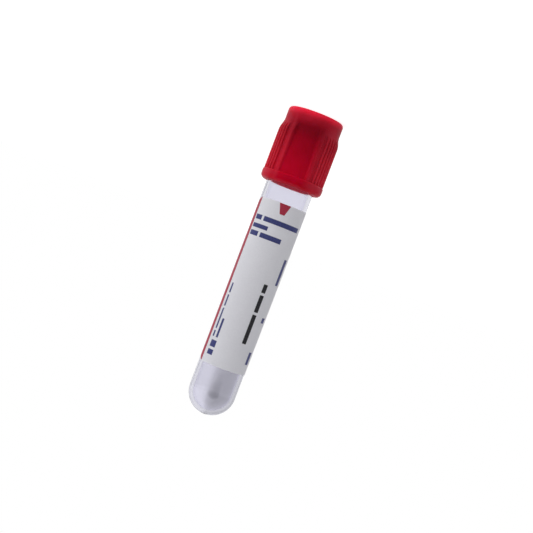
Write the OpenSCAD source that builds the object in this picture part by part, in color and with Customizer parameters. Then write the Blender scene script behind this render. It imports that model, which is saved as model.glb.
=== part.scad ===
// Evacuated blood collection tube, 13 x 75 mm size, with a push-on safety closure.
// A round-ended tube rolls on its side, so it stands on the flat top of its closure, on Z = 0,
// with the round end up. The label's front faces -Y. Millimetres.

/* [Tube] */
// Length of the moulded tube, from the gate mark to the rim
tube_length = 75; // [73:0.5:100]
// Outside diameter at the rim
mouth_d = 12.86; // [12.7:0.02:12.94]
// Outside diameter of the straight lower part and of the round end
base_d = 12.6; // [12.4:0.05:12.7]
// Wall thickness
wall = 1.06; // [0.9:0.02:1.2]
// Length of the straight lower part, below the draft
straight_h = 6.9; // [5:0.1:6.9]

/* [Label] */
// Height of the label's lower edge above the gate mark
label_z = 13.3; // [13.3:0.1:16]
// Height of the label along the tube
label_h = 45.7; // [30:0.1:46]
// How far the label wraps round the tube, in degrees
label_wrap = 305; // [180:1:330]
// Thickness of the label
label_t = 0.08; // [0.06:0.01:0.15]
// Corner radius of the label
label_corner = 2; // [0.5:0.1:3]
// Where the striped edge of the label starts, in degrees round the tube
label_start = 13; // [0:1:359]

/* [Shield] */
// Overall height of the shield
shield_h = 20.4; // [20:0.1:22]
// How far the shield's top stands above the tube's rim
shield_rise = 9.2; // [9:0.1:10]
// Outside diameter of the lip
lip_d = 16.86; // [16.7:0.02:17.4]
// Height of the lip
lip_h = 2.7; // [2.2:0.1:3.5]
// Outside diameter over the grip ribs
grip_d = 16.5; // [16.2:0.05:16.6]
// Outside diameter of the collar
collar_d = 15.2; // [15:0.05:15.4]
// Height of the collar
collar_h = 3.3; // [3:0.1:3.8]
// Diameter of the opening in the top
port_d = 9.4; // [8:0.1:9.6]
// Grip ribs on each side
ribs = 12; // [6:1:12]
// Width of each smooth panel, in degrees round the shield
panel_wrap = 44; // [36:1:50]
// Direction of the middle of the first panel, in degrees
panel_at = 84.4; // [0:0.1:359.9]

/* [Stopper] */
// How far the plug reaches into the tube
plug_h = 8.8; // [7:0.1:10]
// Diameter of the plug between its sealing beads
plug_d = 10.2; // [9.6:0.05:10.3]
// Radial clearance between a sealing bead and the tube's wall
seal_gap = 0.04; // [0.02:0.01:0.08]
// Sealing beads on the plug
beads = 3; // [2:1:3]

/* [Hidden] */
$fn = 96;
eps = 0.01;
// How far a shape runs into the one it joins, and how far a cutter runs past what it cuts
bite = 0.2;
past = 1;

// Tube
mouth_r = mouth_d / 2;
base_r = base_d / 2;
rim_round = 0.4;
rim_z = tube_length - rim_round;
gate_r = 0.35;
gate_h = 0.1;
gate_land_r = 1;
dome_z = gate_h + sqrt(pow(base_r, 2) - pow(gate_land_r, 2));
draft_z = dome_z + straight_h;
bore_r = mouth_r - wall;
bore_dome_r = base_r - wall;
bore_dome_z = dome_z + 0.1;
seam_depth = 0.04;
seam_w = 0.16;
seam_z = dome_z + 0.1;
// Outside and bore radius at a height on the drafted part
function wall_r(z) = base_r + (mouth_r - base_r) * (z - draft_z) / (rim_z - draft_z);
function bore_at(z) = bore_dome_r + (bore_r - bore_dome_r) * (z - bore_dome_z) / (rim_z - bore_dome_z);

// The adhesive under the label
label_gap = 0.02;

// Shield, bottom to top
top_z = tube_length + shield_rise;
lip_z = top_z - shield_h;
lip_r = lip_d / 2;
lip_round = 1.3;
lip_top_round = 0.35;
lip_top = lip_z + lip_h;
lip_arc_r = lip_r - lip_round;
lip_arc_z = lip_z + lip_round;
grip_r = grip_d / 2;
collar_r = collar_d / 2;
collar_z = top_z - collar_h;
top_round = 1;
shoulder_h = 3.7;
shoulder_z = collar_z - shoulder_h;
// The grip and the panels come up to the collar just inside its surface
collar_foot_r = collar_r - 0.02;
core_r = 7.3;
root_r = collar_r + 0.15;
rib_tip = 0.28;
rib_foot = 0.42;
// Middle of the round crests, which stand a little proud of the grip until they are trimmed
crest = grip_r + 0.02 - rib_tip;
rib_first = 45;
rib_pitch = (180 - 2 * rib_first) / (ribs - 1);
// Slope from a panel up to its ridge, and the ridge's far edge, in degrees
slope_wrap = 4.5;
ridge_end = 35;
// The panels' cut ends run this far under the ridges, in degrees
panel_tuck = 1.5;
panel_low_r = 7.85;
panel_high_r = collar_r - 0.2;
cove_h = 1.7;
cove_z = collar_z - cove_h;
skirt_bore_r = 6.65;
lead_in = 0.35;
guides = 6;
guide_r = 0.35;
guide_z = lip_z + 1;
guide_h = 9;
guide_tip_r = 6.52;
port_r = port_d / 2;
port_round = 0.5;
port_wall = 0.9;
collar_wall = 0.9;
roof = 1.2;
snap_r = 0.34;

// Stopper, bottom to top
seat_gap = 0.05;
flange_z = tube_length + seat_gap;
flange_r = 6.84;
pocket_r = 6.87;
flange_h = 4.35;
flange_top = flange_z + flange_h;
plug_z = tube_length - plug_h;
plug_r = plug_d / 2;
plug_chamfer = 0.6;
bead_round = 0.5;
bead_first = plug_z + 1.7;
bead_pitch = 2.5;
well_r = 2.9;
well_h = 5.4;
well_dome_h = 0.9;
dish_r = 3.4;
dish_floor_r = 2.2;
dish_h = 0.9;

// Every piece is drawn from the gate mark up, then turned over to stand on the closure
module stand() {
    translate([0, 0, top_z])
        rotate([180, 0, 0])
            children();
}

// Flat pie slice between two directions under 180 degrees apart, longer than any radius here
module slice(from, to) {
    reach = 2 * lip_d;
    polygon([[0, 0], for (a = [from, (from + to) / 2, to]) reach * [cos(a), sin(a)]]);
}

// Section of the tube: round end, straight part, drafted wall and rolled rim
module tube_section() {
    difference() {
        union() {
            intersection() {
                translate([0, dome_z]) circle(r = base_r);
                translate([0, gate_h]) square([base_r, dome_z - gate_h]);
            }
            polygon([[0, dome_z], [base_r, dome_z], [base_r, draft_z], [mouth_r, rim_z], [0, rim_z]]);
            square([gate_r, 2 * gate_h]);
        }
        intersection() {
            translate([0, bore_dome_z]) circle(r = bore_dome_r);
            square([bore_dome_r, bore_dome_z]);
        }
        polygon([[0, bore_dome_z], [bore_dome_r, bore_dome_z], [bore_r, rim_z], [bore_r, rim_z + past],
                 [0, rim_z + past]]);
        translate([base_r - seam_depth, seam_z]) square([past, seam_w]);
    }
    intersection() {
        translate([bore_r, rim_z]) square([wall, rim_round]);
        union() {
            translate([bore_r + rim_round, rim_z]) circle(r = rim_round);
            translate([mouth_r - rim_round, rim_z]) circle(r = rim_round);
            translate([bore_r + rim_round, rim_z]) square([wall - 2 * rim_round, rim_round]);
        }
    }
}

module tube() {
    color([0.82, 0.81, 0.88, 0.45])
        stand()
            rotate_extrude()
                tube_section();
}

// What comes off one corner of the label: a block less a round post that points outwards
module label_corner_cut(side, end) {
    turn = label_start + (side > 0 ? label_wrap : 0);
    z = label_z + (end > 0 ? label_h : 0);
    inset = label_corner / wall_r(z) * 180 / PI;
    // The block stops just short of the post's middle, where post and edge run along each other
    reach = 0.99 * label_corner;
    difference() {
        rotate([0, 0, turn])
            translate([base_r - past, side > 0 ? -reach : -past, end > 0 ? z - label_corner : z - past])
                cube([3 * past, reach + past, label_corner + past]);
        rotate([0, 0, turn - side * inset])
            translate([0, 0, z - end * label_corner])
                rotate([0, 90, 0])
                    cylinder(r = label_corner, h = mouth_d);
    }
}

module label() {
    low_r = wall_r(label_z) + label_gap;
    high_r = wall_r(label_z + label_h) + label_gap;
    color("white")
        stand()
            difference() {
                rotate([0, 0, label_start])
                    rotate_extrude(angle = label_wrap)
                        polygon([[low_r, label_z], [low_r + label_t, label_z],
                                 [high_r + label_t, label_z + label_h], [high_r, label_z + label_h]]);
                for (side = [-1, 1], end = [-1, 1])
                    label_corner_cut(side, end);
            }
}

// Section of the stopper: flange with a dished target, plug with beads and a well below
module stopper_section() {
    difference() {
        union() {
            translate([0, flange_z]) square([flange_r, flange_top - flange_z]);
            polygon([[0, plug_z], [plug_r - plug_chamfer, plug_z], [plug_r, plug_z + plug_chamfer],
                     [plug_r, flange_z], [0, flange_z]]);
            for (i = [0:beads - 1]) {
                z = bead_first + i * bead_pitch;
                translate([bore_at(z) - seal_gap - bead_round, z]) circle(r = bead_round);
            }
        }
        translate([0, plug_z - past]) square([well_r, well_h + past]);
        intersection() {
            translate([0, plug_z + well_h]) circle(r = well_r);
            translate([0, plug_z + well_h]) square([well_r, well_dome_h]);
        }
        polygon([[0, flange_top - dish_h], [dish_floor_r, flange_top - dish_h], [dish_r, flange_top],
                 [dish_r, flange_top + past], [0, flange_top + past]]);
    }
}

module stopper() {
    color([0.62, 0.16, 0.15])
        stand()
            rotate_extrude()
                stopper_section();
}

// Section out to a wall that swings from one radius to another in two equal arcs on its way up
module swing_section(low_r, high_r, low, high) {
    inwards = low_r > high_r;
    wide = max(low_r, high_r);
    narrow = min(low_r, high_r);
    half_h = (high - low) / 2;
    arc = half_h / sin(2 * atan((wide - narrow) / (high - low)));
    intersection() {
        translate([wide - arc, inwards ? low : high]) circle(r = arc);
        translate([0, inwards ? low : low + half_h]) square([wide, half_h]);
    }
    difference() {
        translate([0, inwards ? low + half_h : low]) square([(wide + narrow) / 2, half_h]);
        translate([narrow + arc, inwards ? high : low]) circle(r = arc);
    }
}

// Outline that the grip may fill: straight up to the shoulder, then in to the collar
module grip_envelope() {
    low = lip_top - lip_top_round - eps;
    translate([0, low]) square([grip_r, shoulder_z - low]);
    swing_section(grip_r, collar_foot_r, shoulder_z, collar_z);
}

// Lip with its rounded edge, body under the grip, and collar with its rounded top
module shield_core_section() {
    intersection() {
        translate([0, lip_z]) square([lip_r, lip_round]);
        union() {
            translate([lip_arc_r, lip_arc_z]) circle(r = lip_round);
            translate([0, lip_z]) square([lip_arc_r, lip_round]);
        }
    }
    translate([0, lip_arc_z]) square([lip_r, lip_h - lip_round - lip_top_round]);
    intersection() {
        translate([0, lip_top - lip_top_round]) square([lip_r, lip_top_round]);
        union() {
            translate([lip_r - lip_top_round, lip_top - lip_top_round]) circle(r = lip_top_round);
            translate([0, lip_top - lip_top_round]) square([lip_r - lip_top_round, lip_top_round]);
        }
    }
    translate([0, lip_top - eps]) square([core_r, collar_z - lip_top]);
    translate([0, collar_z - eps]) square([collar_r, eps + collar_h - top_round]);
    intersection() {
        translate([0, top_z - top_round]) square([collar_r, top_round]);
        union() {
            translate([collar_r - top_round, top_z - top_round]) circle(r = top_round);
            translate([0, top_z - top_round]) square([collar_r - top_round, top_round]);
        }
    }
}

// One grip rib, pointing along +X: tapered flanks and a round crest, which the grip's outline trims
module rib_section() {
    polygon([[core_r - bite, -rib_foot], [crest, -rib_tip], [crest, rib_tip], [core_r - bite, rib_foot]]);
    translate([crest, 0]) circle(r = rib_tip);
}

// Broad ridge beside a panel: a slope up from the panel, then the same round edges as the ribs
module ridge_section() {
    foot = panel_wrap / 2;
    edge = rib_tip / crest * 180 / PI;
    near = foot + slope_wrap + edge;
    far = ridge_end - edge;
    intersection() {
        circle(r = crest);
        slice(near - edge, far + edge);
    }
    slice(near, far);
    for (a = [near, far])
        rotate(a) translate([crest, 0]) circle(r = rib_tip);
    // The slope leaves the panel at its foot and ends just inside the round edge
    start = panel_high_r * [cos(foot), sin(foot)];
    middle = crest * [cos(near), sin(near)];
    way = middle - start;
    rise = atan2(way[1], way[0]) - asin(rib_tip / norm(way));
    polygon([(core_r - bite) * [cos(foot), sin(foot)], start,
             middle + 0.98 * rib_tip * [sin(rise), -cos(rise)], middle,
             (core_r - bite) * [cos(near), sin(near)]]);
}

// Cross-section of the grip on one side, between two panels
module grip_side() {
    intersection() {
        circle(r = root_r);
        slice(ridge_end - panel_tuck, 180 - ridge_end + panel_tuck);
    }
    for (m = [0, 1])
        mirror([m, 0]) ridge_section();
    for (i = [0:ribs - 1])
        rotate(rib_first + i * rib_pitch) rib_section();
}

// Smooth sunken panel, which spreads towards the lip and runs in a cove up to the collar
module panel() {
    low = lip_top - lip_top_round;
    rotate([0, 0, -panel_wrap / 2 - slope_wrap - panel_tuck])
        rotate_extrude(angle = panel_wrap + 2 * slope_wrap + 2 * panel_tuck)
            difference() {
                union() {
                    polygon([[0, low], [panel_low_r, low], [panel_high_r, cove_z + eps], [0, cove_z + eps]]);
                    swing_section(panel_high_r, collar_foot_r, cove_z, collar_z);
                }
                translate([0, low - past]) square([core_r - bite, collar_z - low + 2 * past]);
            }
}

// Hollow of the shield: skirt, pocket for the stopper's flange, coring of the collar and the port
module shield_hollow() {
    port_top = top_z - port_round;
    polygon([[0, lip_z - past], [skirt_bore_r + lead_in, lip_z - past], [skirt_bore_r + lead_in, lip_z],
             [skirt_bore_r, lip_z + 2 * lead_in], [skirt_bore_r, flange_z], [0, flange_z]]);
    translate([0, flange_z - snap_r]) square([pocket_r, flange_top - flange_z + snap_r]);
    translate([port_r + port_wall, flange_top - eps])
        square([collar_r - collar_wall - port_r - port_wall, top_z - roof - flange_top + eps]);
    translate([0, flange_top - eps]) square([port_r, top_z - flange_top + past]);
    difference() {
        translate([0, port_top]) square([port_r + port_round, port_round + past]);
        translate([port_r + port_round, port_top]) circle(r = port_round);
    }
}

module shield() {
    color([0.72, 0.05, 0.12])
        stand()
            rotate([0, 0, panel_at]) {
                difference() {
                    union() {
                        rotate_extrude() shield_core_section();
                        intersection() {
                            rotate_extrude() grip_envelope();
                            union() {
                                for (side = [0, 180])
                                    rotate([0, 0, side]) {
                                        translate([0, 0, lip_top - lip_top_round])
                                            linear_extrude(collar_z - lip_top + lip_top_round)
                                                grip_side();
                                        panel();
                                    }
                            }
                        }
                    }
                    rotate_extrude() shield_hollow();
                }
                rotate_extrude()
                    translate([pocket_r, flange_z - snap_r]) circle(r = snap_r);
                for (i = [0:guides - 1])
                    rotate([0, 0, (i + 0.5) * 360 / guides])
                        translate([guide_tip_r + guide_r, 0, guide_z])
                            cylinder(r = guide_r, h = guide_h);
            }
}

tube();
label();
stopper();
shield();
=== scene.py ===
import math

import bpy
from mathutils import Matrix, Vector


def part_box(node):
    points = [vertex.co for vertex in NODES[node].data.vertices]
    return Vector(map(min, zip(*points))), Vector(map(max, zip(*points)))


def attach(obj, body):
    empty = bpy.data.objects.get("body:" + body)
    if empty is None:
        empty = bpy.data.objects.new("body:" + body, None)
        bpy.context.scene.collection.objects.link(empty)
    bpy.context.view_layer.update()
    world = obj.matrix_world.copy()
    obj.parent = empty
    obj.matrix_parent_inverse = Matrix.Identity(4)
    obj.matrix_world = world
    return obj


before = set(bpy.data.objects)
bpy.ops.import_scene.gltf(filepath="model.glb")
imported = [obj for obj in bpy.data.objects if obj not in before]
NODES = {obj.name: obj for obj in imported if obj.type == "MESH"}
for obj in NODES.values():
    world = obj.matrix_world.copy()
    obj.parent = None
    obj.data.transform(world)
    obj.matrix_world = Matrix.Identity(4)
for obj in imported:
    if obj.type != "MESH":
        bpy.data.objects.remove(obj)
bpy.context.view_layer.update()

# Blood collection tube: materials, the print on the label, the floor, the room, the lamp and the camera.
# The tube stands on its closure, so its round end is at the top. Metres, in the CAD's frame.
MM = 0.001
TUBE_BODY = "labelled_tube"

# The tip is the round end; heights on the tube are counted from it, towards the closure
TIP_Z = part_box("tube")[1].z
LABEL_FROM = TIP_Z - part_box("label")[1].z
LABEL_TO = TIP_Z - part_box("label")[0].z


# ---------------------------------------------------------------- places on the label


def striped_edge():
    """World angle of the label's striped edge, where the bare strip starts."""
    angles = sorted({math.atan2(v.co.y, v.co.x) for v in NODES["label"].data.vertices})
    turns = [b - a for a, b in zip(angles, angles[1:])]
    turns.append(angles[0] + 2 * math.pi - angles[-1])
    return angles[turns.index(max(turns))]


def label_radius(height):
    """Outside radius of the label where its edge is that far from the tip."""
    reach = 2.5 * MM
    return max(v.co.xy.length for v in NODES["label"].data.vertices if abs(TIP_Z - v.co.z - height) < reach)


STRIPE_EDGE = striped_edge()
R_LOW = label_radius(LABEL_FROM)
R_HIGH = label_radius(LABEL_TO)
R_MEAN = (R_LOW + R_HIGH) / 2


def on_label(across, height, lift):
    """Point over the label. across is millimetres round it from the striped edge, height is millimetres from
    the tip, and lift is metres."""
    share = (height * MM - LABEL_FROM) / (LABEL_TO - LABEL_FROM)
    radius = R_LOW + (R_HIGH - R_LOW) * share + lift
    angle = STRIPE_EDGE - across * MM / R_MEAN
    return Vector((radius * math.cos(angle), radius * math.sin(angle), TIP_Z - height * MM))


# ---------------------------------------------------------------- material building blocks


class Nodes:
    """A node tree being filled in: adds nodes with their settings and links them."""

    def __init__(self, tree):
        self.tree = tree
        tree.nodes.clear()

    def add(self, kind, **settings):
        node = self.tree.nodes.new(kind)
        for name, value in settings.items():
            setattr(node, name, value)
        return node

    def link(self, a, b):
        self.tree.links.new(a, b)

    def place(self):
        """The object's own coordinates, in metres."""
        return self.add("ShaderNodeTexCoord").outputs["Object"]

    def axes(self, vector):
        """A vector's X, Y and Z."""
        node = self.add("ShaderNodeSeparateXYZ")
        self.link(vector, node.inputs["Vector"])
        return node.outputs

    def along(self, vector, way):
        """How far a vector goes in a direction."""
        node = self.add("ShaderNodeVectorMath", operation="DOT_PRODUCT")
        self.link(vector, node.inputs[0])
        node.inputs[1].default_value = way
        return node.outputs["Value"]

    def radius(self):
        """Distance from the tube's axis."""
        flat = self.add("ShaderNodeVectorMath", operation="MULTIPLY")
        self.link(self.place(), flat.inputs[0])
        flat.inputs[1].default_value = (1.0, 1.0, 0.0)
        length = self.add("ShaderNodeVectorMath", operation="LENGTH")
        self.link(flat.outputs["Vector"], length.inputs[0])
        return length.outputs["Value"]

    def combine(self, operation, a, b):
        """Two values put together by a math operation."""
        node = self.add("ShaderNodeMath", operation=operation)
        self.link(a, node.inputs[0])
        self.link(b, node.inputs[1])
        return node.outputs["Value"]

    def noise(self, scale, detail=3.0, roughness=0.55, stretch=None):
        """Noise with about scale features a metre."""
        place = self.place()
        if stretch:
            mapping = self.add("ShaderNodeMapping")
            mapping.inputs["Scale"].default_value = stretch
            self.link(place, mapping.inputs["Vector"])
            place = mapping.outputs["Vector"]
        node = self.add("ShaderNodeTexNoise")
        node.inputs["Scale"].default_value = scale
        node.inputs["Detail"].default_value = detail
        node.inputs["Roughness"].default_value = roughness
        self.link(place, node.inputs["Vector"])
        return node.outputs["Fac"]

    def span(self, fac, low, high, from_low=0.3, from_high=0.7):
        """Maps a factor to a range of values; the range it comes from is a noise's, unless it is given."""
        node = self.add("ShaderNodeMapRange")
        node.inputs["From Min"].default_value = from_low
        node.inputs["From Max"].default_value = from_high
        node.inputs["To Min"].default_value = low
        node.inputs["To Max"].default_value = high
        self.link(fac, node.inputs["Value"])
        return node.outputs["Result"]

    def ramp(self, fac, stops):
        """Colour ramp over (position, colour) stops."""
        node = self.add("ShaderNodeValToRGB")
        elements = node.color_ramp.elements
        while len(elements) < len(stops):
            elements.new(0.5)
        for element, (position, colour) in zip(elements, stops):
            element.position = position
            element.color = (*colour, 1.0)
        self.link(fac, node.inputs["Fac"])
        return node.outputs["Color"]

    def levels(self, fac, stops):
        """Grey ramp over (position, level) stops."""
        return self.ramp(fac, [(position, (level, level, level)) for position, level in stops])

    def mottle(self, noise, low, high):
        """Colour between two by a noise."""
        return self.ramp(noise, [(0.3, low), (0.7, high)])

    def blend(self, factor, a, b):
        """Colour a where the factor is 0, colour b where it is 1."""
        node = self.add("ShaderNodeMix", data_type="RGBA")
        self.link(factor, node.inputs["Factor"])
        # The colour sockets come after the float and vector ones
        self.link(a, node.inputs[6])
        self.link(b, node.inputs[7])
        return node.outputs[2]

    def multiply(self, a, b):
        """One colour times another."""
        node = self.add("ShaderNodeMix", data_type="RGBA", blend_type="MULTIPLY")
        node.inputs["Factor"].default_value = 1.0
        self.link(a, node.inputs[6])
        self.link(b, node.inputs[7])
        return node.outputs[2]

    def bump(self, height, depth):
        """Bump of that depth in metres."""
        node = self.add("ShaderNodeBump")
        node.inputs["Strength"].default_value = 1.0
        node.inputs["Distance"].default_value = depth
        self.link(height, node.inputs["Height"])
        return node.outputs["Normal"]

    def principled(self, **values):
        """Principled shader with constant values set on its own sockets."""
        node = self.add("ShaderNodeBsdfPrincipled")
        for name, value in values.items():
            node.inputs[name.replace("_", " ")].default_value = value
        return node

    def glow(self, strength):
        """White light of a strength that varies."""
        node = self.add("ShaderNodeEmission")
        self.link(strength, node.inputs["Strength"])
        return node.outputs["Emission"]

    def choose(self, factor, a, b):
        """Shader a where the factor is 0, shader b where it is 1."""
        node = self.add("ShaderNodeMixShader")
        self.link(factor, node.inputs["Fac"])
        self.link(a, node.inputs[1])
        self.link(b, node.inputs[2])
        return node.outputs["Shader"]

    def by_ray(self, camera, through, glossy, other):
        """One shader for the camera's own rays, one for rays that came through the clear plastic, one for
        reflections and one for the rest."""
        path = self.add("ShaderNodeLightPath")
        shader = self.choose(path.outputs["Is Glossy Ray"], other, glossy)
        shader = self.choose(path.outputs["Is Transmission Ray"], shader, through)
        return self.choose(path.outputs["Is Camera Ray"], shader, camera)

    def output(self, shader):
        node = self.add("ShaderNodeOutputMaterial")
        self.link(shader, node.inputs["Surface"])


def new_material(name):
    material = bpy.data.materials.new(name)
    material.use_nodes = True
    return material, Nodes(material.node_tree)


def give(obj, material):
    obj.data.materials.clear()
    obj.data.materials.append(material)


# ---------------------------------------------------------------- materials

# World angle of the middle of the closure's front panel, as in the CAD
PANEL_WAY = math.radians(-84.4)
# The floor's glow towards the object, on the picture's left and right
FLOOR_LEFT = 1.04
FLOOR_RIGHT = 0.69


def painted_shade_and_light_near_tip(n):
    """Share of the tint along the tube, with painted shade and light: a little deeper up to the mould line
    where the round end starts, and painted lighter past it.
    """
    reach = 20.0
    near_tip = n.span(n.axes(n.place())["Z"], 0.0, 1.0, TIP_Z - reach * MM, TIP_Z)
    # Millimetres from the tip
    stops = ((20.0, 1.0), (14.0, 0.968), (6.56, 0.968), (6.24, 1.01))
    return n.levels(near_tip, [(1.0 - from_tip / reach, level) for from_tip, level in stops])


def clear_plastic():
    """Moulded clear plastic, tinted violet-grey and more so where seen edge on. Light shines through."""
    material, n = new_material("clear_plastic")
    shader = n.principled(Transmission_Weight=1.0, IOR=1.54)
    haze = n.noise(700.0, detail=4.0)
    tint = n.mottle(haze, (0.872, 0.866, 0.938), (0.888, 0.882, 0.950))
    facing = n.add("ShaderNodeLayerWeight").outputs["Facing"]
    edge = n.ramp(facing, [(0.3, (1.0, 1.0, 1.0)), (0.55, (0.88, 0.88, 0.92)), (0.92, (0.78, 0.78, 0.87))])
    # The base colour carries painted shade and light near the round end
    n.link(n.multiply(n.multiply(tint, edge), painted_shade_and_light_near_tip(n)), shader.inputs["Base Color"])
    n.link(n.span(haze, 0.015, 0.05), shader.inputs["Roughness"])
    flow = n.noise(90.0, detail=2.0, stretch=(1.0, 1.0, 0.25))
    n.link(n.bump(flow, 0.00001), shader.inputs["Normal"])
    shine = n.add("ShaderNodeBsdfTransparent")
    shine.inputs["Color"].default_value = (0.95, 0.945, 0.97, 1.0)
    in_shadow = n.add("ShaderNodeLightPath").outputs["Is Shadow Ray"]
    n.output(n.choose(in_shadow, shader.outputs["BSDF"], shine.outputs["BSDF"]))
    return material


def label_paper():
    """Coated white paper with faint fibres, thin enough to let a little light through."""
    material, n = new_material("label_paper")
    shader = n.principled(
        Specular_IOR_Level=0.35,
        Subsurface_Weight=0.4,
        Subsurface_Scale=0.0003,
        Subsurface_Radius=(1.0, 1.0, 1.0),
    )
    fibre = n.noise(2600.0, detail=5.0, roughness=0.65)
    cloud = n.noise(160.0, detail=2.0)
    sheet = n.ramp(fibre, [(0.25, (0.86, 0.857, 0.93)), (0.75, (0.915, 0.912, 0.98))])
    patchy = n.mottle(cloud, (0.975, 0.975, 0.98), (1.0, 1.0, 1.0))
    n.link(n.multiply(sheet, patchy), shader.inputs["Base Color"])
    n.link(n.span(fibre, 0.38, 0.52), shader.inputs["Roughness"])
    n.link(n.bump(fibre, 0.000006), shader.inputs["Normal"])
    n.output(shader.outputs["BSDF"])
    return material


def painted_sheen_share(n, height):
    """How much painted sheen the shield has, a paler red that stands for grazing reflections: 0 on the
    panels, 1 between them and at the lip.
    """
    side = n.along(n.place(), (-math.sin(PANEL_WAY), math.cos(PANEL_WAY), 0.0))
    reach = 6.2
    across = n.span(side, 0.0, 1.0, -reach * MM, reach * MM)
    # Millimetres sideways from the panel's middle
    flanks = ((-6.2, 1.0), (-3.2, 0.0), (3.2, 0.0))
    # Right of the panel: painted light on the ridge and painted shade in the groove beside it
    flanks += ((3.6, 0.25), (3.9, 0.5), (4.3, 0.6), (4.7, 0.36), (5.2, 0.5), (6.2, 0.95))
    by_side = n.levels(across, [((at + reach) / (2 * reach), level) for at, level in flanks])
    # Painted sheen at the collar's top edge and at the lip
    collar_and_lip = ((0.1, 0.5), (0.18, 0.18), (0.28, 0.05), (0.34, 0.0), (0.955, 0.0), (0.995, 1.0))
    return n.combine("MAXIMUM", by_side, n.levels(height, collar_and_lip))


def shield_colour_with_painted_light(n, pigment, height):
    """The shield's red by place, with painted light, shade and sheen: lighter where light comes through it
    from behind, and more through the ribs, brightest at the collar's top edge and darkest just under the
    collar.
    """
    deep = n.mottle(pigment, (0.84, 0.0006, 0.028), (0.97, 0.0012, 0.038))
    # A paler red: painted sheen
    pale = n.mottle(pigment, (0.84, 0.032, 0.068), (0.97, 0.040, 0.082))
    # Painted light and shade by height on the panels, and on the thinner ribs
    panel = ((0.04, 1.0), (0.08, 0.62), (0.16, 0.36), (0.22, 0.265), (0.27, 0.27), (0.4, 0.42))
    panel += ((0.55, 0.49), (0.77, 0.62), (0.87, 0.63), (0.93, 0.56), (1.0, 0.5))
    ribs = ((0.04, 1.0), (0.1, 0.54), (0.28, 0.55), (0.55, 0.68), (0.8, 0.72), (0.93, 0.62), (1.0, 0.58))
    panel_painted_light = n.multiply(deep, n.levels(height, panel))
    ribs_painted_sheen_and_light = n.multiply(pale, n.levels(height, ribs))
    outside = n.blend(painted_sheen_share(n, height), panel_painted_light, ribs_painted_sheen_and_light)
    # Painted light: the bore's wall is painted lighter and pinker, for light that reaches it through the tube
    # as well
    bore = n.mottle(pigment, (0.95, 0.06, 0.12), (0.99, 0.08, 0.15))
    return n.blend(n.span(n.radius(), 0.0, 1.0, 6.9 * MM, 7.1 * MM), bore, outside)


def red_plastic():
    """Satin moulded red plastic, a little translucent."""
    material, n = new_material("red_plastic")
    shader = n.principled(
        Specular_IOR_Level=0.04,
        Subsurface_Radius=(1.0, 0.1, 0.1),
    )
    pigment = n.noise(240.0, detail=4.0)
    grain = n.noise(4200.0, detail=3.0)
    low, high = (corner.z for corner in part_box("shield"))
    # 0 at the closure's flat top, 1 at its lip
    height = n.span(n.axes(n.place())["Z"], 0.0, 1.0, low, high)
    lip = (0.9, 0.96)
    # The base colour carries painted light, shade and sheen by place
    n.link(shield_colour_with_painted_light(n, pigment, height), shader.inputs["Base Color"])
    n.link(n.span(height, 0.4, 1.0, *lip), shader.inputs["Subsurface Weight"])
    n.link(n.span(height, 0.0012, 0.005, *lip), shader.inputs["Subsurface Scale"])
    n.link(n.span(grain, 0.32, 0.44), shader.inputs["Roughness"])
    n.link(n.bump(grain, 0.000007), shader.inputs["Normal"])
    n.output(shader.outputs["BSDF"])
    return material


def stopper_rubber():
    """Dull red-brown rubber with a powdery bloom."""
    material, n = new_material("stopper_rubber")
    shader = n.principled(Specular_IOR_Level=0.3)
    bloom = n.noise(1500.0, detail=5.0, roughness=0.7)
    powder = n.ramp(bloom, [(0.35, (0.27, 0.035, 0.03)), (0.68, (0.36, 0.085, 0.075))])
    n.link(powder, shader.inputs["Base Color"])
    n.link(n.span(bloom, 0.62, 0.85), shader.inputs["Roughness"])
    n.link(n.bump(bloom, 0.00002), shader.inputs["Normal"])
    n.output(shader.outputs["BSDF"])
    return material


def ink(name, thin, full):
    """Printing ink, slightly mottled."""
    material, n = new_material(name)
    shader = n.principled(Specular_IOR_Level=0.4)
    mottle = n.noise(3500.0, detail=4.0, roughness=0.7)
    n.link(n.ramp(mottle, [(0.3, full), (0.72, thin)]), shader.inputs["Base Color"])
    n.link(n.span(mottle, 0.34, 0.5), shader.inputs["Roughness"])
    n.output(shader.outputs["BSDF"])
    return material


def floor_paper():
    """Pale floor. The camera sees it white with a faint soft shadow; it lights the object from below."""
    material, n = new_material("floor_paper")
    mottle = n.noise(60.0)
    paper = n.principled(Roughness=0.9, Specular_IOR_Level=0.1, Emission_Strength=0.84)
    paper.inputs["Emission Color"].default_value = (1.0, 1.0, 1.0, 1.0)
    n.link(n.mottle(mottle, (0.42, 0.42, 0.42), (0.44, 0.44, 0.44)), paper.inputs["Base Color"])
    outwards = n.add("ShaderNodeVectorMath", operation="NORMALIZE")
    n.link(n.place(), outwards.inputs[0])
    way = n.axes(outwards.outputs["Vector"])
    # Through the clear plastic and in reflections, it is brighter behind the object than in front
    through = n.glow(n.span(way["Y"], 0.5, 0.97, 0.0, 0.95))
    glossy = n.glow(n.span(way["Y"], 0.05, 0.88, -0.6, 0.97))
    light = n.glow(n.span(way["X"], FLOOR_RIGHT, FLOOR_LEFT, -1.0, 1.0))
    n.output(n.by_ray(paper.outputs["BSDF"], through, glossy, light))
    return material


# ---------------------------------------------------------------- print on the label

# The film of ink, over the label
INK_LOW = 0.004 * MM
INK_HIGH = 0.014 * MM
# Widest column of a shape, in millimetres
COLUMN = 0.35
# A pointed end of a shape is cut to this height
BLUNT = 0.03


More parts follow.
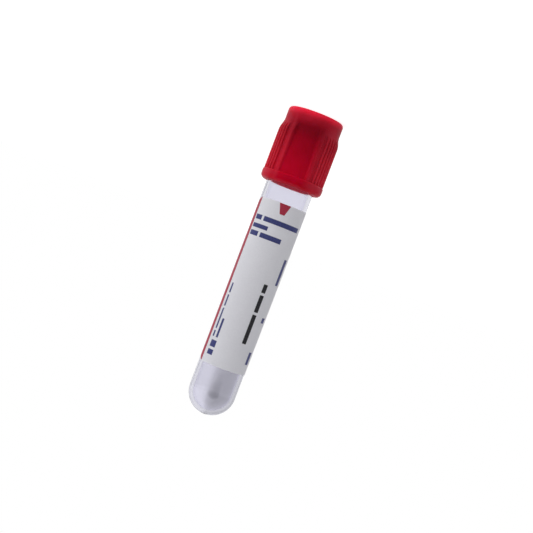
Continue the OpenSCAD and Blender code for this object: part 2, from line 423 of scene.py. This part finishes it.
def add_slab(verts, faces, columns):
    """Adds a closed film of ink to a mesh: each column is (across, lowest height, highest height)."""
    first = len(verts)
    for across, low, high in columns:
        for height in (low, high):
            for lift in (INK_LOW, INK_HIGH):
                verts.append(on_label(across, height, lift))
    last = len(columns) - 1
    for i in range(last):
        a = first + 4 * i
        b = a + 4
        faces.append((a + 1, b + 1, b + 3, a + 3))
        faces.append((a, a + 2, b + 2, b))
        faces.append((a, b, b + 1, a + 1))
        faces.append((a + 2, a + 3, b + 3, b + 2))
    end = first + 4 * last
    faces.append((first, first + 1, first + 3, first + 2))
    faces.append((end, end + 2, end + 3, end + 1))


def shape_columns(corners):
    """Columns of a convex shape, given its corners in order as (across, height)."""
    edges = list(zip(corners, corners[1:] + corners[:1]))
    stops = sorted({across for across, height in corners})
    places = []
    for left, right in zip(stops, stops[1:]):
        steps = max(1, math.ceil((right - left) / COLUMN))
        places += [left + (right - left) * i / steps for i in range(steps)]
    places.append(stops[-1])
    columns = []
    for across in places:
        heights = []
        for (a, h), (b, k) in edges:
            if min(a, b) <= across <= max(a, b):
                heights += [h, k] if a == b else [h + (k - h) * (across - a) / (b - a)]
        middle = (min(heights) + max(heights)) / 2
        half = max((max(heights) - min(heights)) / 2, BLUNT / 2)
        columns.append((across, middle - half, middle + half))
    return columns


def print_piece(name, slabs, material):
    """One piece of print out of lists of columns."""
    verts = []
    faces = []
    for columns in slabs:
        add_slab(verts, faces, columns)
    mesh = bpy.data.meshes.new(name)
    mesh.from_pydata(verts, [], faces)
    mesh.validate()
    obj = bpy.data.objects.new(name, mesh)
    bpy.context.scene.collection.objects.link(obj)
    give(obj, material)
    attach(obj, TUBE_BODY)


def bar(left, right, low, high):
    """A plain bar of print."""
    return shape_columns([(left, low), (right, low), (right, high), (left, high)])


def line_of_print(low, high, *bars):
    """Bars round the label, one beside another, each (left, right)."""
    return [bar(left, right, low, high) for left, right in bars]


def row_of_print(left, right, *bars):
    """Bars along the tube, one after another, each (low, high)."""
    return [bar(left, right, low, high) for low, high in bars]


def stripe_columns(width, corner, inset):
    """Columns of the stripe along the label's edge, with ends that follow the label's round corners."""
    low = LABEL_FROM / MM
    high = LABEL_TO / MM
    columns = []
    steps = 8
    for i in range(steps + 1):
        # Closer together at the edge, where the corner is steep
        across = inset + (width - inset) * (i / steps) ** 1.5
        cut = corner - math.sqrt(max(0.0, corner**2 - (corner - across) ** 2))
        columns.append((across, low + cut + inset, high - cut - inset))
    return columns


def print_heading(navy):
    """Three lines with one left edge."""
    left = 2.15
    slabs = line_of_print(53.05, 54.35, (left, 4.35), (5.05, 16.1))
    slabs += line_of_print(50.85, 51.95, (left, 7.1))
    slabs += line_of_print(48.7, 50.0, (left, 4.95), (5.65, 11.6))
    print_piece("print_heading", slabs, navy)


def print_date(black):
    """One row along the label, a little right of the front's middle."""
    print_piece("print_date", row_of_print(11.5, 12.7, (21.3, 29.3), (30.0, 34.7), (35.4, 37.7)), black)


def print_edge_notes(navy):
    """Two rows of small print beside the stripe, and two blocks nearer the tip."""
    slabs = row_of_print(2.7, 3.25, (20.4, 22.0), (22.6, 28.2), (28.8, 31.9), (32.5, 35.2))
    slabs += row_of_print(4.05, 4.7, (20.4, 25.6))
    slabs += row_of_print(3.0, 4.9, (15.6, 17.0), (17.7, 19.5))
    print_piece("print_edge_notes", slabs, navy)


def print_side_notes(navy):
    """One row along the label, at the right of what the camera sees."""
    print_piece("print_side_notes", row_of_print(15.2, 16.6, (16.2, 19.6), (27.8, 29.2), (38.3, 45.5)), navy)


def print_wedge(red):
    """Wedge that points from the label's edge by the closure towards the heading."""
    top = LABEL_TO / MM - 0.05
    point = 56.1
    wedge = shape_columns([(7.75, top), (10.85, top), (9.95, point), (8.65, point)])
    print_piece("print_wedge", [wedge], red)


def print_stripe(red):
    """Stripe along the label's edge."""
    print_piece("print_stripe", [stripe_columns(width=1.7, corner=2.0, inset=0.05)], red)


def make_print():
    navy = ink("ink_navy", (0.075, 0.085, 0.27), (0.035, 0.042, 0.17))
    black = ink("ink_black", (0.045, 0.043, 0.05), (0.014, 0.013, 0.017))
    red = ink("ink_red", (0.50, 0.035, 0.075), (0.40, 0.018, 0.05))
    print_heading(navy)
    print_date(black)
    print_edge_notes(navy)
    print_side_notes(navy)
    print_wedge(red)
    print_stripe(red)


# ---------------------------------------------------------------- studio

# Middle of the painted shadow's darkest spot, in the room behind the round end
PAINTED_SHADOW_WAY = (-0.012, 0.9898, 0.142)
# The picture's left, in the world
PICTURE_LEFT = (0.935, 0.0, 0.355)
# Strength of the room's light on the picture's left and right
ROOM_LEFT = 0.36
ROOM_RIGHT = 0.05
# and what is added straight overhead
ROOM_TOP = 0.6


def make_floor():
    """Round pale floor under the object."""
    rings = 24
    spokes = 96
    reach = 2.0
    verts = [(0.0, 0.0, 0.0)]
    faces = []
    for ring in range(1, rings + 1):
        radius = reach * (ring / rings) ** 2
        for spoke in range(spokes):
            angle = 2 * math.pi * spoke / spokes
            verts.append((radius * math.cos(angle), radius * math.sin(angle), 0.0))
    for spoke in range(spokes):
        after = (spoke + 1) % spokes
        faces.append((0, 1 + spoke, 1 + after))
        for ring in range(rings - 1):
            a = 1 + ring * spokes
            b = a + spokes
            faces.append((a + spoke, b + spoke, b + after, a + after))
    mesh = bpy.data.meshes.new("floor")
    mesh.from_pydata(verts, [], faces)
    obj = bpy.data.objects.new("floor", mesh)
    bpy.context.scene.collection.objects.link(obj)
    give(obj, floor_paper())


def seen_through_with_painted_shadow(n, way, axes):
    """The room behind the clear plastic: bright straight behind and dimmer at the sides. A painted shadow,
    soft and dark, starts straight behind and reaches to the picture's right, above the closure's level, with
    a darker spot in it. It stands for the tube's own shadow, seen through its round end."""
    behind = n.ramp(
        n.span(axes["Y"], 0.0, 1.0, -1.0, 1.0),
        [
            (0.0, (0.5, 0.5, 0.51)),
            (0.5, (0.5, 0.5, 0.51)),
            (0.85, (0.84, 0.84, 0.85)),
            (0.95, (0.95, 0.95, 0.95)),
        ],
    )
    aside = ((0.01, 0.0), (0.035, 0.09), (0.061, 0.22), (0.09, 0.58), (0.118, 0.73))
    aside += ((0.147, 0.86), (0.18, 1.0), (0.48, 1.0), (0.72, 0.5), (1.0, 0.4))
    above = ((0.04, 0.0), (0.07, 0.82), (0.12, 0.87), (0.15, 1.0), (0.25, 0.92), (0.6, 0.6), (1.0, 0.0))
    # Painted shadow: a soft dark patch in the room seen through the clear plastic
    field = n.multiply(n.levels(n.span(axes["X"], 0.0, 1.0, 0.1, -0.7), aside), n.levels(axes["Z"], above))
    # with a darker painted shadow spot in its middle
    near_painted_shadow = n.span(n.along(way, PAINTED_SHADOW_WAY), 0.0, 1.0, 0.9986, 0.9998)
    painted_shadow_spot = n.levels(near_painted_shadow, ((0.0, 1.0), (1.0, 0.62)))
    node = n.add("ShaderNodeBackground")
    n.link(n.multiply(behind, painted_shadow_spot), node.inputs["Color"])
    n.link(n.span(field, 1.0, 0.45, 0.0, 1.0), node.inputs["Strength"])
    return node


def reflected(n, axes):
    """The room in reflections: dark in front, so that surfaces facing the camera keep their colour."""
    node = n.add("ShaderNodeBackground")
    mirror = n.ramp(
        n.span(axes["Y"], 0.0, 1.0, -1.0, 1.0),
        [
            (0.0, (0.03, 0.03, 0.03)),
            (0.18, (0.04, 0.04, 0.04)),
            (0.5, (0.44, 0.44, 0.48)),
            (0.8, (0.58, 0.58, 0.64)),
            (0.97, (0.88, 0.88, 0.9)),
        ],
    )
    n.link(mirror, node.inputs["Color"])
    return node


def room_light(n, way, axes):
    """Even light that falls off towards the picture's right, with more from overhead."""
    node = n.add("ShaderNodeBackground")
    node.inputs["Color"].default_value = (1.0, 0.995, 1.0, 1.0)
    level = n.span(n.along(way, PICTURE_LEFT), ROOM_RIGHT, ROOM_LEFT, -1.0, 1.0)
    overhead = n.span(axes["Z"], 0.0, ROOM_TOP, 0.3, 1.0)
    n.link(n.combine("ADD", level, overhead), node.inputs["Strength"])
    return node


def make_world():
    """Plain white to the camera, and a soft room to every other ray."""
    world = bpy.data.worlds.new("studio")
    world.use_nodes = True
    n = Nodes(world.node_tree)
    way = n.add("ShaderNodeTexCoord").outputs["Generated"]
    axes = n.axes(way)
    white = n.add("ShaderNodeBackground")
    white.inputs["Color"].default_value = (1.0, 1.0, 1.0, 1.0)
    rooms = (white, seen_through_with_painted_shadow(n, way, axes), reflected(n, axes), room_light(n, way, axes))
    output = n.add("ShaderNodeOutputWorld")
    n.link(n.by_ray(*(room.outputs["Background"] for room in rooms)), output.inputs["Surface"])
    bpy.context.scene.world = world


def make_lamp():
    """Weak soft key lamp, at the picture's left and a little in front, aimed at the middle of the object."""
    angle = math.radians(-26.0)
    distance = 0.45
    place = Vector((distance * math.cos(angle), distance * math.sin(angle), 0.12))
    target = Vector((0.0, 0.0, TIP_Z / 2))
    data = bpy.data.lights.new("key", "AREA")
    data.shape = "RECTANGLE"
    data.size = 0.3
    data.size_y = 0.2
    data.energy = 0.23
    obj = bpy.data.objects.new("key", data)
    bpy.context.scene.collection.objects.link(obj)
    obj.location = place
    obj.rotation_euler = (target - place).to_track_quat("-Z", "Y").to_euler()
    obj.visible_camera = False
    obj.visible_glossy = False
    obj.visible_transmission = False


def make_camera():
    """The photograph's view: level with the object's middle, rolled to put the closure at the upper right."""
    distance = 0.330
    aside = 0.00165
    from_tip = 0.0422
    lean = math.radians(20.78)
    data = bpy.data.cameras.new("camera")
    data.lens = 84.4
    data.sensor_width = 36.0
    data.clip_start = 0.01
    data.clip_end = 10.0
    camera = bpy.data.objects.new("camera", data)
    bpy.context.scene.collection.objects.link(camera)
    up = Vector((math.sin(lean), 0.0, -math.cos(lean)))
    back = Vector((0.0, -1.0, 0.0))
    right = up.cross(back)
    turn = Matrix((right, up, back)).transposed().to_4x4()
    camera.matrix_world = Matrix.Translation((-aside, -distance, TIP_Z - from_tip)) @ turn
    bpy.context.scene.camera = camera


give(NODES["tube"], clear_plastic())
give(NODES["label"], label_paper())
give(NODES["shield"], red_plastic())
give(NODES["stopper"], stopper_rubber())
make_print()
make_floor()
make_world()
make_lamp()
make_camera()
bpy.context.scene.view_settings.view_transform = "Standard"
